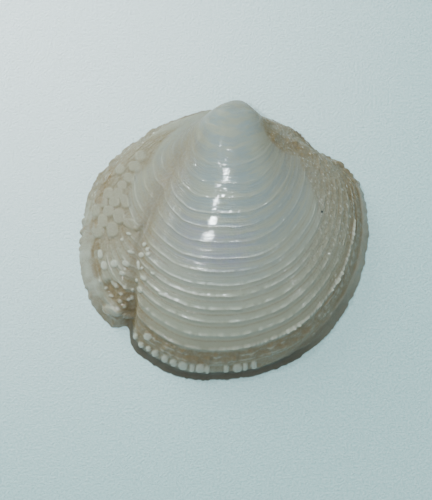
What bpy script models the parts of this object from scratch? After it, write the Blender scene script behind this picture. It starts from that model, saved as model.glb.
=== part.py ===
"""Right valve of a scaly lucine clam, lying on its margin with its outside up.

The shell is a growth spiral: every growth line is the outline of the margin, shrunk towards
the apex and turned up about the hinge axis. +X is the front end, +Y the hinge side, +Z up,
and the origin is on the resting plane under the middle of the shell.
"""

import math

import bpy
import numpy as np

MM = 0.001

# Driving dimensions, in millimetres
MIDDLE = np.array((0.06, 0.04, 0.0))
APEX = np.array((2.05, 13.95))
SHELL_DROP = 28.6
RIM_WIDTH = 1.25
HINGE_PLATE = 2.6
RIDGE_HEIGHT = 0.20
EDGE_RIDGE_HEIGHT = 0.32
BLOCK_HEIGHT = 0.34
BLOCK_FLOOR = 0.10
GRAIN_HEIGHT = 0.16
BEAD_HEIGHT = 0.22
BEAK_LEAN = -0.75
BEAK_LIFT = 0.70
BEAK_BREADTH = 0.45
SHOULDER = 0.78
SKIRT = 2.0

# Growth spiral: how fast a growth line turns up towards the beak, and at the steep margin
UMBO_TURN = 0.45
EDGE_TURN = 1.60
EDGE_SHARPNESS = 8.0
TURN_LIMIT = 0.72
LEAN_STAGE = 0.12
BEAK_CURL = 0.62
CURL_STAGE = 0.13
LIFT_STAGE = 0.26
BREADTH_STAGE = 0.20
NORMAL_STEP = 0.004

# Growth lines bulge in front of the sulcus, and behind it they reach further from the beak
BULGE = 0.045
BULGE_SIDE = (math.radians(100.0), math.radians(121.0))
REAR_TILT = 0.37
REAR_REACH = 0.28
REAR_END = (math.radians(148.0), math.radians(166.0))

# Sulcus, the furrow that runs from behind the beak to a notch in the lower margin
SULCUS_END = math.radians(117.7)
SULCUS_SWEEP = math.radians(24.5)
SULCUS_BEND = (2.2, 1.8)
SULCUS_DEPTH = 0.42
SULCUS_WIDTH = 0.80
NOTCH_DEPTH = 1.25
NOTCH_WIDTH = 0.85

# Lunule furrow, from in front of the beak to a slight dent in the front margin
LUNULE_END = math.radians(29.5)
LUNULE_SWEEP = math.radians(11.0)
LUNULE_DEPTH = 0.28
LUNULE_WIDTH = 0.75
DENT_DEPTH = 0.22

# Margin seen from above, clockwise from behind the beak: columns in the stretch, then points
HINGE = (6, ((-1.94, 13.70), (-0.16, 13.78), (1.73, 13.66), (2.78, 13.28)))
FRONT_SLOPE = (
    12,
    (
        (3.47, 12.72), (4.88, 12.76), (6.25, 12.23), (7.72, 11.55),
        (8.77, 10.66), (9.92, 9.61), (11.05, 8.80),
    ),
)
FRONT_END = (
    18,
    (
        (12.23, 8.24), (13.18, 7.46), (14.02, 6.46), (14.65, 5.15), (15.07, 3.26),
        (15.23, 0.84), (15.02, -1.26), (14.54, -3.36), (13.91, -5.15),
    ),
)
LOWER_MARGIN = (
    24,
    (
        (12.97, -6.93), (11.81, -8.72), (10.24, -10.50), (8.35, -12.02), (6.25, -13.18),
        (3.83, -14.02), (1.52, -14.49), (-1.10, -14.65), (-3.52, -14.54), (-5.41, -14.07),
        (-7.19, -13.13), (-8.77, -12.02),
    ),
)
REAR_LOBE = (
    36,
    (
        (-10.24, -10.60), (-11.39, -9.40), (-12.55, -8.30), (-13.49, -7.14), (-14.28, -5.67),
        (-14.80, -3.78), (-15.07, -1.68), (-15.07, 0.32), (-14.75, 2.63), (-14.23, 4.73),
    ),
)
REAR_SLOPE = (
    14,
    (
        (-13.39, 6.46), (-12.23, 7.88), (-10.76, 9.35), (-9.08, 10.60),
        (-7.30, 11.77), (-5.41, 12.60), (-3.52, 13.25),
    ),
)
STRETCHES = (HINGE, FRONT_SLOPE, FRONT_END, LOWER_MARGIN, REAR_LOBE, REAR_SLOPE)
SPLINE_STEPS = 24

# Where areas of the outside pass into each other, as directions from the apex, clockwise from +X
FRONT_AREA = math.radians(55.0)
FRONT_EDGE = (math.radians(43.0), math.radians(63.0))
BEHIND_SULCUS = (math.radians(1.0), math.radians(6.0))
BEHIND_LUNULE = (math.radians(-3.0), math.radians(6.0))

# Shares of the shell's height, seen from above, below the apex: where sculpture and the hinge plate end
PLAIN_HINGE = (0.03, 0.12)
PLATE_END = (0.10, 0.32)

# Growth stages, as shares of the full size
BEAK_STAGES = (0.015, 0.04, 0.07, 0.11, 0.16)
BULGE_GROWS = (0.15, 0.42)
BULGE_FADES = (0.58, 0.98)
TILT_GROWS = (0.15, 0.45)
TILT_FADES = (0.50, 0.90)
NOTCH_GROWS = (0.70, 1.00)
SULCUS_GROWS = (0.20, 0.80)
LUNULE_GROWS = (0.18, 0.45)
FURROWS_FADE = (0.97, 1.00)
RIDGES_GROW = (0.60, 0.90)
BLOCKS_GROW = (0.62, 0.74)
GRAIN_GROWS = (0.50, 0.70)
RIDGE_STAGES = (
    0.251, 0.305, 0.350, 0.398, 0.445, 0.499, 0.558, 0.603,
    0.651, 0.690, 0.737, 0.782, 0.831, 0.880, 0.931, 0.965,
)
RIDGE_FOOT = 0.011
BEAD_STAGE = 0.95
CAVITY_STAGES = (0.05, 0.12, 0.22, 0.34, 0.46, 0.58, 0.70, 0.81, 0.90, 0.96, 1.0)
CAVITY_SKIP = 2
CAVITY_OVERLAP = 0.05
INNER_DENT = 0.80
DENT_WIDTH = 1.1
CAVITY_OFFSET = (0.6, 0.45)

# Tooth sockets in the hinge plate: centre and half lengths
SOCKETS = (
    ((0.70, 12.10), (0.30, 0.70, 0.55), 0.35),
    ((2.20, 11.95), (0.28, 0.62, 0.50), -0.45),
)
LIGAMENT_GROOVE = ((-2.7, 12.15), (1.9, 0.26, 0.35), 0.36)


def smooth_step(low, high, value):
    share = np.clip((value - low) / (high - low), 0.0, 1.0)
    return share * share * (3.0 - 2.0 * share)


def spline(before, start, end, after, share):
    """A point on the smooth curve from start to end."""
    return 0.5 * (
        2.0 * start
        + (end - before) * share
        + (2.0 * before - 5.0 * start + 4.0 * end - after) * share**2
        + (3.0 * start - before - 3.0 * end + after) * share**3
    )


def margin():
    """The margin's points in order, evenly spaced in each stretch."""
    corners = np.array([point for _, points in STRETCHES for point in points])
    count = len(corners)
    steps = np.linspace(0.0, 1.0, SPLINE_STEPS, endpoint=False)
    columns = []
    first = 0
    for wanted, points in STRETCHES:
        dense = []
        for corner in range(first, first + len(points)):
            around = [corners[(corner + offset) % count] for offset in (-1, 0, 1, 2)]
            dense += [spline(*around, share) for share in steps]
        dense.append(corners[(first + len(points)) % count])
        dense = np.array(dense)
        travel = np.concatenate([[0.0], np.cumsum(np.linalg.norm(np.diff(dense, axis=0), axis=1))])
        even = np.linspace(0.0, travel[-1], wanted, endpoint=False)
        columns += [
            (np.interp(at, travel, dense[:, 0]), np.interp(at, travel, dense[:, 1])) for at in even
        ]
        first += len(points)
    return np.array(columns)


def whorl(stage):
    """How far a growth line reaches from the hinge axis, and how high it rises, as shares."""
    turn = UMBO_TURN * np.log(1.0 / stage)
    turn += (EDGE_TURN - UMBO_TURN) * (1.0 - stage**EDGE_SHARPNESS) / EDGE_SHARPNESS
    held = turn / (1.0 + np.abs(turn / TURN_LIMIT) ** 4) ** 0.25
    turn = turn + BEAK_CURL * np.exp(-((stage / CURL_STAGE) ** 1.5))
    radius = stage / np.cos(held)
    return radius * np.cos(turn), radius * np.sin(turn)


def furrow(angle, centre, radius, width):
    """One in the middle of a furrow, fading to nothing beside it."""
    return np.exp(-(((angle - centre) * radius / width) ** 2))


def sulcus_angle(stage):
    power, sharpness = SULCUS_BEND
    return SULCUS_END + SULCUS_SWEEP * np.maximum(1.0 - stage**power, 0.0) ** sharpness


def lunule_angle(stage):
    return LUNULE_END + LUNULE_SWEEP * (1.0 - stage)


def polar(points):
    """Each point's direction from the apex, clockwise from +X, and its distance, seen from above."""
    arm = points[:, :2] - APEX
    return np.arctan2(-arm[:, 1], arm[:, 0]), np.linalg.norm(arm, axis=1)


def line_stage(outline, stage):
    """Stage at each point of the ridge that has the given stage in the middle of the shell."""
    angle, _ = polar(outline)
    bulge = BULGE * smooth_step(*BULGE_GROWS, stage) * (1.0 - smooth_step(*BULGE_FADES, stage))
    behind = np.maximum(angle - sulcus_angle(stage), 0.0)
    tilt = REAR_TILT * REAR_REACH * np.tanh(behind / REAR_REACH) * (1.0 - smooth_step(*REAR_END, angle))
    tilt *= smooth_step(*TILT_GROWS, stage) * (1.0 - smooth_step(*TILT_FADES, stage))
    return stage + bulge * smooth_step(*BULGE_SIDE, angle) * (1.0 - smooth_step(*REAR_END, angle)) + tilt


def growth_line(outline, apex, stage, notched):
    """The points of one growth line, at one stage or at one for each point."""
    arm = outline - apex
    angle = np.arctan2(-arm[:, 1], arm[:, 0])
    size = np.linalg.norm(arm, axis=1)
    if notched:
        bite = NOTCH_DEPTH * furrow(angle, sulcus_angle(stage), size, NOTCH_WIDTH)
        bite += DENT_DEPTH * furrow(angle, lunule_angle(stage), size, LUNULE_WIDTH)
        arm = arm * (1.0 - smooth_step(*NOTCH_GROWS, stage) * bite / size)[:, None]
    reach, rise = whorl(stage)
    drop = np.maximum(-arm[:, 1], 0.0)
    tall = drop.max()
    line = np.empty((len(arm), 3))
    broad = 1.0 + BEAK_BREADTH * np.exp(-((stage / BREADTH_STAGE) ** 2))
    line[:, 0] = apex[0] + stage * broad * arm[:, 0]
    line[:, 1] = apex[1] - reach * drop
    line[:, 2] = rise * tall * (drop / tall) ** SHOULDER
    line[:, 0] += BEAK_LEAN * stage / LEAN_STAGE * np.exp(1.0 - stage / LEAN_STAGE)
    line[:, 2] += BEAK_LIFT * np.exp(-((stage / LIFT_STAGE) ** 1.5))
    return line


def outward(outline, apex, stage):
    """Unit normals of the smooth shell along one growth line."""
    ahead = growth_line(outline, apex, stage + NORMAL_STEP, False)
    behind = growth_line(outline, apex, stage - NORMAL_STEP, False)
    here = growth_line(outline, apex, stage, False)
    along = np.roll(here, -1, axis=0) - np.roll(here, 1, axis=0)
    normal = np.cross(along, ahead - behind)
    return normal / np.maximum(np.linalg.norm(normal, axis=1), 1e-9)[:, None]


def ridge_relief(outline, stage, row):
    """Height of the sculpture on the crest of one ridge: plain, in blocks behind, grainy in front."""
    angle, _ = polar(outline)
    raised = (np.arange(len(outline)) + row) % 2
    relief = RIDGE_HEIGHT + (EDGE_RIDGE_HEIGHT - RIDGE_HEIGHT) * smooth_step(*RIDGES_GROW, stage)
    behind_sulcus = smooth_step(*BEHIND_SULCUS, angle - sulcus_angle(stage))
    blocks = BLOCK_HEIGHT * smooth_step(*BLOCKS_GROW, stage) * raised
    relief = relief * (1.0 - behind_sulcus) + (blocks + BLOCK_FLOOR) * behind_sulcus
    front = 1.0 - smooth_step(*FRONT_EDGE, angle)
    relief += GRAIN_HEIGHT * front * smooth_step(*GRAIN_GROWS, stage) * (raised - 0.5)
    beaded = (angle > FRONT_AREA) & (angle < sulcus_angle(stage)) & (stage > BEAD_STAGE)
    relief += BEAD_HEIGHT * beaded * (raised - 0.5)
    return relief * smooth_step(*BEHIND_LUNULE, angle - lunule_angle(stage))


def furrow_relief(outline, stage):
    """Depth of the sulcus and of the lunule furrow."""
    angle, size = polar(outline)
    radius = stage * size
    sulcus = smooth_step(*SULCUS_GROWS, stage) * furrow(angle, sulcus_angle(stage), radius, SULCUS_WIDTH)
    lunule = smooth_step(*LUNULE_GROWS, stage) * furrow(angle, lunule_angle(stage), radius, LUNULE_WIDTH)
    depth = SULCUS_DEPTH * sulcus + LUNULE_DEPTH * lunule
    return depth * (1.0 - smooth_step(*FURROWS_FADE, stage))


def away_from_hinge(outline):
    """Nothing along the hinge line, one on the rest of the shell."""
    return smooth_step(*PLAIN_HINGE, (APEX[1] - outline[:, 1]) / SHELL_DROP)


def sculpted_line(outline, stage, row):
    """One growth line of the outside. A row number puts it on a ridge's crest."""
    stage = line_stage(outline, stage)
    line = growth_line(outline, APEX, stage, True)
    relief = -furrow_relief(outline, stage)
    if row is not None:
        relief = relief + ridge_relief(outline, stage, row)
    relief = relief * away_from_hinge(outline)
    return line + outward(outline, APEX, stage) * relief[:, None]


def loft(name, lines, tip):
    """A closed mesh through growth lines, from a tip point to a flat base."""
    count = len(lines[0])
    points = np.concatenate([[tip]] + lines)
    faces = [(0, 1 + (i + 1) % count, 1 + i) for i in range(count)]
    for row in range(len(lines) - 1):
        low = 1 + row * count
        high = low + count
        for i in range(count):
            j = (i + 1) % count
            faces.append((low + i, low + j, high + j, high + i))
    last = 1 + (len(lines) - 1) * count
    faces.append(tuple(range(last, last + count)))
    mesh = bpy.data.meshes.new(name)
    mesh.from_pydata(((points - MIDDLE) * MM).tolist(), [], faces)
    mesh.validate()
    return mesh


def place(mesh, collection):
    made = bpy.data.objects.new(mesh.name, mesh)
    collection.objects.link(made)
    return made


def outside():
    """The valve as a solid dome with the ridges, blocks, beads and furrows of its outside."""
    outline = margin()
    lines = [growth_line(outline, APEX, stage, True) for stage in BEAK_STAGES]
    for row, stage in enumerate(RIDGE_STAGES):
        lines.append(sculpted_line(outline, stage, row))
        lines.append(sculpted_line(outline, stage + RIDGE_FOOT, None))
    rim = growth_line(outline, APEX, 1.0, True)
    rim[:, 2] = 0.0
    lines.append(rim)
    tip = lines[0].mean(axis=0)
    return loft("right_valve", lines, tip)


def cavity():
    """The smooth hollow of the inside, with a skirt that passes through the resting plane."""
    outline = margin()[::CAVITY_SKIP]
    ahead = np.roll(outline, -1, axis=0) - np.roll(outline, 1, axis=0)
    inward = np.stack([ahead[:, 1], -ahead[:, 0]], axis=1)
    inward /= np.linalg.norm(inward, axis=1)[:, None]
    near_hinge = 1.0 - smooth_step(*PLATE_END, (APEX[1] - outline[:, 1]) / SHELL_DROP)
    width = RIM_WIDTH + (HINGE_PLATE - RIM_WIDTH) * near_hinge
    angle, size = polar(outline)
    width += NOTCH_DEPTH * furrow(angle, SULCUS_END, size, DENT_WIDTH)
    inner = outline + inward * width[:, None]
    apex = np.array((APEX[0] - CAVITY_OFFSET[0], inner[:, 1].max() + CAVITY_OFFSET[1]))
    lines = [growth_line(inner, apex, stage, False) for stage in CAVITY_STAGES]
    for line in lines:
        around, radius = polar(line)
        stage = radius / np.interp(around, np.sort(angle), size[np.argsort(angle)])
        stage = np.minimum(stage, 1.0)
        dent = smooth_step(*SULCUS_GROWS, stage) * furrow(around, sulcus_angle(stage), radius, DENT_WIDTH)
        line[:, 2] -= np.minimum(INNER_DENT * dent, 0.5 * line[:, 2])
    lines[-1][:, 2] = -CAVITY_OVERLAP
    skirt = lines[-1].copy()
    skirt[:, 2] = -SKIRT
    lines.append(skirt)
    return loft("cavity", lines, lines[0].mean(axis=0))


def socket(centre, half, turn, collection):
    """A small rounded pit cut up into the hinge plate."""
    bpy.ops.mesh.primitive_uv_sphere_add(segments=10, ring_count=6, radius=1.0)
    pit = bpy.context.object
    pit.name = "tooth_socket"
    pit.location = (np.array((*centre, 0.0)) - MIDDLE) * MM
    pit.scale = [size * MM for size in half]
    pit.rotation_euler = (0.0, 0.0, turn)
    for holder in pit.users_collection:
        holder.objects.unlink(pit)
    collection.objects.link(pit)
    return pit


def cut(target, cutter):
    cutter.hide_render = True
    cutter.display_type = "WIRE"
    hollow = target.modifiers.new("cut " + cutter.name, "BOOLEAN")
    hollow.operation = "DIFFERENCE"
    hollow.object = cutter
    hollow.solver = "EXACT"


def shell_material():
    """Glossy greyish white shell."""
    shell = bpy.data.materials.new("shell")
    shell.use_nodes = True
    surface = shell.node_tree.nodes["Principled BSDF"]
    surface.inputs["Base Color"].default_value = (0.33, 0.36, 0.34, 1.0)
    surface.inputs["Roughness"].default_value = 0.3
    surface.inputs["Metallic"].default_value = 0.0
    return shell


def main():
    for old in list(bpy.data.objects):
        bpy.data.objects.remove(old, do_unlink=True)
    parts = bpy.data.collections.new("lucine_clam_shell")
    cutters = bpy.data.collections.new("cutters")
    bpy.context.scene.collection.children.link(parts)
    bpy.context.scene.collection.children.link(cutters)
    valve = place(outside(), parts)
    valve.data.materials.append(shell_material())
    cut(valve, place(cavity(), cutters))
    for centre, half, turn in (*SOCKETS, LIGAMENT_GROOVE):
        cut(valve, socket(centre, half, turn, cutters))
    valve.data.shade_smooth()
    valve.data.set_sharp_from_angle(angle=math.radians(40))


main()
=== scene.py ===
"""Looks of a right valve of a scaly lucine clam, lying on a pale table with its outside up.

The valve is one closed mesh in growth coordinates: a stage, from 0 at the beak to 1 at the
margin, and an angle, clockwise from +X about the apex. Every ridge, scale, bead and stain is
a function of the two. Lengths are in millimetres until the mesh is made.
"""

import math

import bpy
import numpy as np
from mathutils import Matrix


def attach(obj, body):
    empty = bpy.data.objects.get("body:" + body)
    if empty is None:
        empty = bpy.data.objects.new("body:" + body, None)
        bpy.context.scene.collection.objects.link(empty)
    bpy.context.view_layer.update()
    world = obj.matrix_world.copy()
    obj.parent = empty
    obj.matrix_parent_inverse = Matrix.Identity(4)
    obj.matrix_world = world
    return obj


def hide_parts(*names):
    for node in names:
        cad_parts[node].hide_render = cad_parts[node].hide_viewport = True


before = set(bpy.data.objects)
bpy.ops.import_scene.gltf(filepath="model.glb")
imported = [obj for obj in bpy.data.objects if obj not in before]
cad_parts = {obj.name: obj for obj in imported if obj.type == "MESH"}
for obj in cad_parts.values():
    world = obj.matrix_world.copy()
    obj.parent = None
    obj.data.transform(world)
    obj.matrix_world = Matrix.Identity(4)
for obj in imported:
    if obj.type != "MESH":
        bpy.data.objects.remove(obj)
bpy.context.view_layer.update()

MM = 0.001

# The valve's form, as in the construction model
MIDDLE = np.array((0.06, 0.04, 0.0))
APEX = np.array((2.05, 13.95))
SHELL_DROP = 28.6
RIM_WIDTH = 1.25
HINGE_PLATE = 2.6
BEAK_LEAN = -0.75
BEAK_LIFT = 0.70
BEAK_BREADTH = 0.45
SHOULDER = 0.78
UMBO_TURN = 0.45
EDGE_TURN = 1.60
EDGE_SHARPNESS = 8.0
TURN_LIMIT = 0.72
LEAN_STAGE = 0.12
BEAK_CURL = 0.62
CURL_STAGE = 0.13
LIFT_STAGE = 0.26
BREADTH_STAGE = 0.20
SULCUS_END = math.radians(117.7)
SULCUS_SWEEP = math.radians(24.5)
SULCUS_BEND = (2.2, 1.8)
SULCUS_DEPTH = 0.42
SULCUS_WIDTH = 0.80
NOTCH_DEPTH = 1.25
NOTCH_WIDTH = 0.85
LUNULE_END = math.radians(29.5)
LUNULE_SWEEP = math.radians(11.0)
LUNULE_DEPTH = 0.28
LUNULE_WIDTH = 0.75
DENT_DEPTH = 0.22
INNER_DENT = 0.80
DENT_WIDTH = 1.1
CAVITY_OFFSET = (0.6, 0.45)
# Mesh columns on each side over which the hollow's edge takes its direction
CHORD = 14
# Tooth sockets and ligament groove in the hinge plate: middle, half sizes, and turn in radians
SOCKETS = (
    ((0.70, 12.10), (0.30, 0.70, 0.55), 0.35),
    ((2.20, 11.95), (0.28, 0.62, 0.50), -0.45),
    ((-2.7, 12.15), (1.9, 0.26, 0.35), 0.36),
)

# Margin seen from above, clockwise from behind the beak: mesh columns in the stretch, then points
HINGE = (24, ((-1.94, 13.70), (-0.16, 13.78), (1.73, 13.66), (2.78, 13.28)))
FRONT_SLOPE = (
    64,
    (
        (3.47, 12.72), (4.88, 12.76), (6.25, 12.23), (7.72, 11.55),
        (8.77, 10.66), (9.92, 9.61), (11.05, 8.80),
    ),
)
FRONT_END = (
    96,
    (
        (12.23, 8.24), (13.18, 7.46), (14.02, 6.46), (14.65, 5.15), (15.07, 3.26),
        (15.23, 0.84), (15.02, -1.26), (14.54, -3.36), (13.91, -5.15),
    ),
)
LOWER_MARGIN = (
    168,
    (
        (12.97, -6.93), (11.81, -8.72), (10.24, -10.50), (8.35, -12.02), (6.25, -13.18),
        (3.83, -14.02), (1.52, -14.49), (-1.10, -14.65), (-3.52, -14.54), (-5.41, -14.07),
        (-7.19, -13.13), (-8.77, -12.02),
    ),
)
REAR_LOBE = (
    144,
    (
        (-10.24, -10.60), (-11.39, -9.40), (-12.55, -8.30), (-13.49, -7.14), (-14.28, -5.67),
        (-14.80, -3.78), (-15.07, -1.68), (-15.07, 0.32), (-14.75, 2.63), (-14.23, 4.73),
    ),
)
REAR_SLOPE = (
    64,
    (
        (-13.39, 6.46), (-12.23, 7.88), (-10.76, 9.35), (-9.08, 10.60),
        (-7.30, 11.77), (-5.41, 12.60), (-3.52, 13.25),
    ),
)
STRETCHES = (HINGE, FRONT_SLOPE, FRONT_END, LOWER_MARGIN, REAR_LOBE, REAR_SLOPE)
CURVE_STEPS = 24

# Growth stages of the ridges' crests
RIDGES = np.array((
    0.070, 0.110, 0.155, 0.205, 0.251, 0.305, 0.350, 0.398, 0.445, 0.499, 0.558, 0.603,
    0.651, 0.690, 0.737, 0.782, 0.831, 0.880, 0.905, 0.931, 0.965,
))
# Height of a ridge in millimetres, at growth stages
RIDGE_HEIGHT = (
    (0.0, 0.0), (0.10, 0.03), (0.20, 0.05), (0.35, 0.07), (0.50, 0.09),
    (0.65, 0.14), (0.78, 0.20), (0.90, 0.23), (1.0, 0.20),
)
# Stage from a crest to the foot of its face, and the halfwidth of the cord along the crest
FACE = 0.0140
CORD = 0.0040
# Growth lines bulge in front of the sulcus, and behind it they reach further from the beak
BULGE = 0.045
REAR_TILT = 0.0065
REAR_REACH = 16.0

# Mesh rows around each crest, as stage offsets, and the widest gap between rows on the lower part
CREST_ROWS = (-0.0110, -0.0060, -0.0028, 0.0, 0.0026, 0.0060, 0.0095, 0.0140)
WIDEST_GAP = 0.0064
# A growth line keeps every fourth column up to the first of these stages, every second to the next
COARSE_END = 0.33
MIDDLE_END = 0.58
# Further rows at the beak, the first of all leading, and at the margin, and the least gap between rows
BEAK_ROWS = (0.015, 0.03, 0.05, 0.07)
MARGIN_ROWS = (0.992, 0.997)
LEAST_GAP = 0.0018
# Rows of the underside, as shares of the way from the margin to the hollow's edge
UNDERSIDE_ROWS = (0.03, 0.10, 0.22, 0.36, 0.50, 0.64, 0.78, 0.90, 0.97)
# Rows of the hollow, as its own growth stages
HOLLOW_ROWS = ((0.999, 0.993, 0.985, 0.97), np.linspace(0.95, 0.61, 16), np.linspace(0.58, 0.06, 24))

# Raised lumps: middle, half length and half breadth in millimetres, and turn in degrees
TILES = (
    (-12.0, 4.9, 0.672, 0.648, 0), (-11.0, 4.9, 0.6, 0.672, 0), (-12.7, 4.0, 0.672, 0.648, 0),
    (-11.4, 4.0, 0.672, 0.648, 0), (-10.3, 4.1, 0.552, 0.888, 20), (-12.0, 3.05, 0.672, 0.672, 0),
    (-13.3, 3.1, 0.552, 0.696, 0), (-10.9, 2.5, 0.744, 0.912, 12), (-12.6, 2.05, 0.6, 0.84, 5),
    (-13.1, 1.0, 0.648, 0.816, 5), (-11.6, 1.15, 0.72, 0.936, 10), (-9.6, 1.7, 1.08, 0.576, -24),
    (-9.3, 7.7, 0.744, 0.624, 0), (-8.7, 8.8, 0.672, 0.6, 20), (-9.9, 6.5, 0.672, 0.576, -20),
    (-10.6, 5.7, 0.6, 0.576, 0), (-10.8, 7.4, 0.624, 0.552, 30),
)
LEAVES = (
    (-11.4, -2.4, 0.44, 0.42, 0), (-10.2, -2.4, 0.46, 0.30, -30), (-12.5, -2.6, 0.30, 0.50, 10),
    (-10.6, -3.4, 0.34, 0.24, -20), (-9.7, -1.2, 0.36, 0.16, -20), (-12.9, -1.4, 0.28, 0.50, 5),
)
KNOBS = (
    (-8.4, -0.4, 0.25, 0.23, 0), (-8.0, -0.9, 0.22, 0.22, 0), (-7.9, -1.4, 0.24, 0.24, 0),
    (-8.7, -1.5, 0.32, 0.30, 0), (-9.0, -2.6, 0.17, 0.55, 8), (-8.4, -3.9, 0.42, 0.25, -28),
    (-8.8, -5.1, 0.42, 0.33, -40), (-7.4, -3.4, 0.28, 0.15, -25), (-6.4, -5.6, 0.50, 0.16, -12),
    (-9.9, 0.7, 0.28, 0.15, -15), (-10.6, 0.1, 0.18, 0.14, 20), (-9.2, -4.2, 0.15, 0.22, 0),
    (-9.6, -5.2, 0.14, 0.20, 20), (-9.7, -6.0, 0.16, 0.24, 20), (-8.6, -2.9, 0.16, 0.16, 0),
)
NODULES = (
    (-11.5, -4.6, 0.56, 0.24, -45), (-10.9, -6.4, 0.24, 0.22, 0), (-10.8, -5.6, 0.22, 0.20, 0),
    (-12.4, -5.0, 0.18, 0.16, 0), (-10.3, -4.9, 0.24, 0.15, -40), (-11.9, -5.8, 0.30, 0.15, -40),
    (-10.0, -6.2, 0.22, 0.15, -60), (-12.9, -4.2, 0.22, 0.18, -60), (-10.4, -6.9, 0.2, 0.16, 0),
)
BLOB = ((-11.6, -7.3, 1.20, 0.46, -20), (-10.1, -7.9, 0.55, 0.30, -15))
BEADS = (
    (-7.2, -11.8, 0.36, 0.42, 0), (-6.2, -12.35, 0.38, 0.46, 0), (-5.3, -12.8, 0.38, 0.46, 0),
    (-4.3, -13.1, 0.52, 0.54, 0), (-3.35, -13.3, 0.30, 0.48, 0), (-2.5, -13.4, 0.52, 0.54, 0),
    (-1.75, -13.5, 0.28, 0.48, 0), (0.2, -13.45, 0.29, 0.52, 0), (1.4, -13.35, 0.50, 0.52, 0),
    (2.2, -13.2, 0.30, 0.48, 0), (3.1, -13.0, 0.31, 0.48, 0), (-8.0, -10.0, 0.44, 0.40, -30),
    (-8.7, -10.9, 0.32, 0.34, 0), (-9.3, -10.0, 0.30, 0.34, 0), (-7.9, -11.3, 0.28, 0.30, 0),
)
# The hollow of the brown pocket in the rear lobe
POCKET = ((-11.1, -5.6, 2.15, 1.05, -45),)
# Heights of the lumps over the shell around them, and depth of the pocket
TILE_HEIGHT = 0.19
LEAF_HEIGHT = 0.14
KNOB_HEIGHT = 0.18
NODULE_HEIGHT = 0.16
BLOB_HEIGHT = 0.34
BEAD_HEIGHT = 0.17
POCKET_DEPTH = 0.24
# The lumps beside the tiles: places, height, sharpness of their outline, and how pale they are
LUMPS = (
    (LEAVES, LEAF_HEIGHT, 2.4, 1.0),
    (KNOBS, KNOB_HEIGHT, 2.2, 1.0),
    (NODULES, NODULE_HEIGHT, 2.2, 0.6),
    (BLOB, BLOB_HEIGHT, 2.6, 0.3),
    (BEADS, BEAD_HEIGHT, 2.4, 1.0),
)

# Fainter blocks between and around the tiles: stages between rows, columns' distance at the margin, and
# their height as a share of a tile's
BLOCK_ROW = 0.045
BLOCK_PITCH = 1.35
BLOCK_SHARE = 0.45
# Nodules of the brown strip in front: growth stage, distance, thickness as stages, and height
SEED_STAGE = 0.914
SEED_PITCH = 0.95
SEED_THICKNESS = 0.008
SEED_HEIGHT = 0.12
# Chain of small beads on the last ridge in front
CHAIN_STAGE = 0.880
CHAIN_PITCH = 0.52
CHAIN_THICKNESS = 0.0060
CHAIN_HEIGHT = 0.10
# Patches of the rear lobe's smooth outer strip, and the recess of the lower margin's steep outer face
PATCH_HEIGHT = 0.11
WALL_DEPTH = 0.16
# Zones of the lower margin: growth stages where each begins and ends
BAND = (0.893, 0.940)
RIM = (0.944, 0.972)
# Pale double edges in the brown band: growth stage, halfwidth and strength
PALE_EDGES = ((0.911, 0.0030, 1.0), (0.930, 0.0025, 0.8))
# Sizes in millimetres of the features of the noise that roughens the surface
GRAIN_SIZE = 0.28
SEED_SIZE = 0.40
COARSE_SIZE = 0.70
SOFT_SIZE = 0.90
# Steps that roughen the margin's outline, in millimetres: everywhere, and more where it is crusty
MARGIN_STEP = 0.070
CRUSTY_STEP = 0.060
# Stages in which the steps fade in
MARGIN_FADE = (0.976, 0.994)
# Heights over the table of the outside's lowest points and of the edge under them, in millimetres
OUTSIDE_LIFT = 0.02
RIM_LIFT = 0.05
# Factors that turn whole numbers into repeatable random shares
MIXING = (12.9898, 78.233, 37.719, 43758.5453)


def smooth_step(low, high, value):
    """Nothing below low, one above high, and a smooth rise between them."""
    share = np.clip((value - low) / (high - low), 0.0, 1.0)
    return share * share * (3.0 - 2.0 * share)


def falling(low, high, value):
    """One below low, nothing above high, and a smooth fall between them."""
    return 1.0 - smooth_step(low, high, value)


def window(low, high, value, soft):
    """One between low and high, fading to nothing within soft of each."""
    return smooth_step(low - soft, low + soft, value) * falling(high - soft, high + soft, value)


def scatter(row, column, seed):
    """A repeatable random share for each pair of whole numbers."""
    mixed = np.sin(row * MIXING[0] + column * MIXING[1] + seed * MIXING[2]) * MIXING[3]
    return mixed - np.floor(mixed)


def cloud(x, y, seed):
    """Smooth noise from -1 to 1 with features one unit wide."""
    row = np.floor(x)
    column = np.floor(y)
    across = smooth_step(0.0, 1.0, x - row)
    along = smooth_step(0.0, 1.0, y - column)
    low = scatter(row, column, seed) * (1.0 - across) + scatter(row + 1, column, seed) * across
    high = scatter(row, column + 1, seed) * (1.0 - across) + scatter(row + 1, column + 1, seed) * across
    return 2.0 * (low * (1.0 - along) + high * along) - 1.0


def spline(before, start, end, after, share):
    """A point on the smooth curve from start to end."""
    return 0.5 * (
        2.0 * start
        + (end - before) * share
        + (2.0 * before - 5.0 * start + 4.0 * end - after) * share**2
        + (3.0 * start - before - 3.0 * end + after) * share**3
    )


def margin():
    """The margin's points in order, evenly spaced in each stretch."""
    corners = np.array([point for _, points in STRETCHES for point in points])
    count = len(corners)
    steps = np.linspace(0.0, 1.0, CURVE_STEPS, endpoint=False)
    columns = []
    first = 0
    for wanted, points in STRETCHES:
        dense = []
        for corner in range(first, first + len(points)):
            around = [corners[(corner + offset) % count] for offset in (-1, 0, 1, 2)]
            dense += [spline(*around, share) for share in steps]
        dense.append(corners[(first + len(points)) % count])
        dense = np.array(dense)
        travel = np.concatenate([[0.0], np.cumsum(np.linalg.norm(np.diff(dense, axis=0), axis=1))])
        even = np.linspace(0.0, travel[-1], wanted, endpoint=False)
        columns += [
            (np.interp(at, travel, dense[:, 0]), np.interp(at, travel, dense[:, 1])) for at in even
        ]
        first += len(points)
    return np.array(columns)


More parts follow.
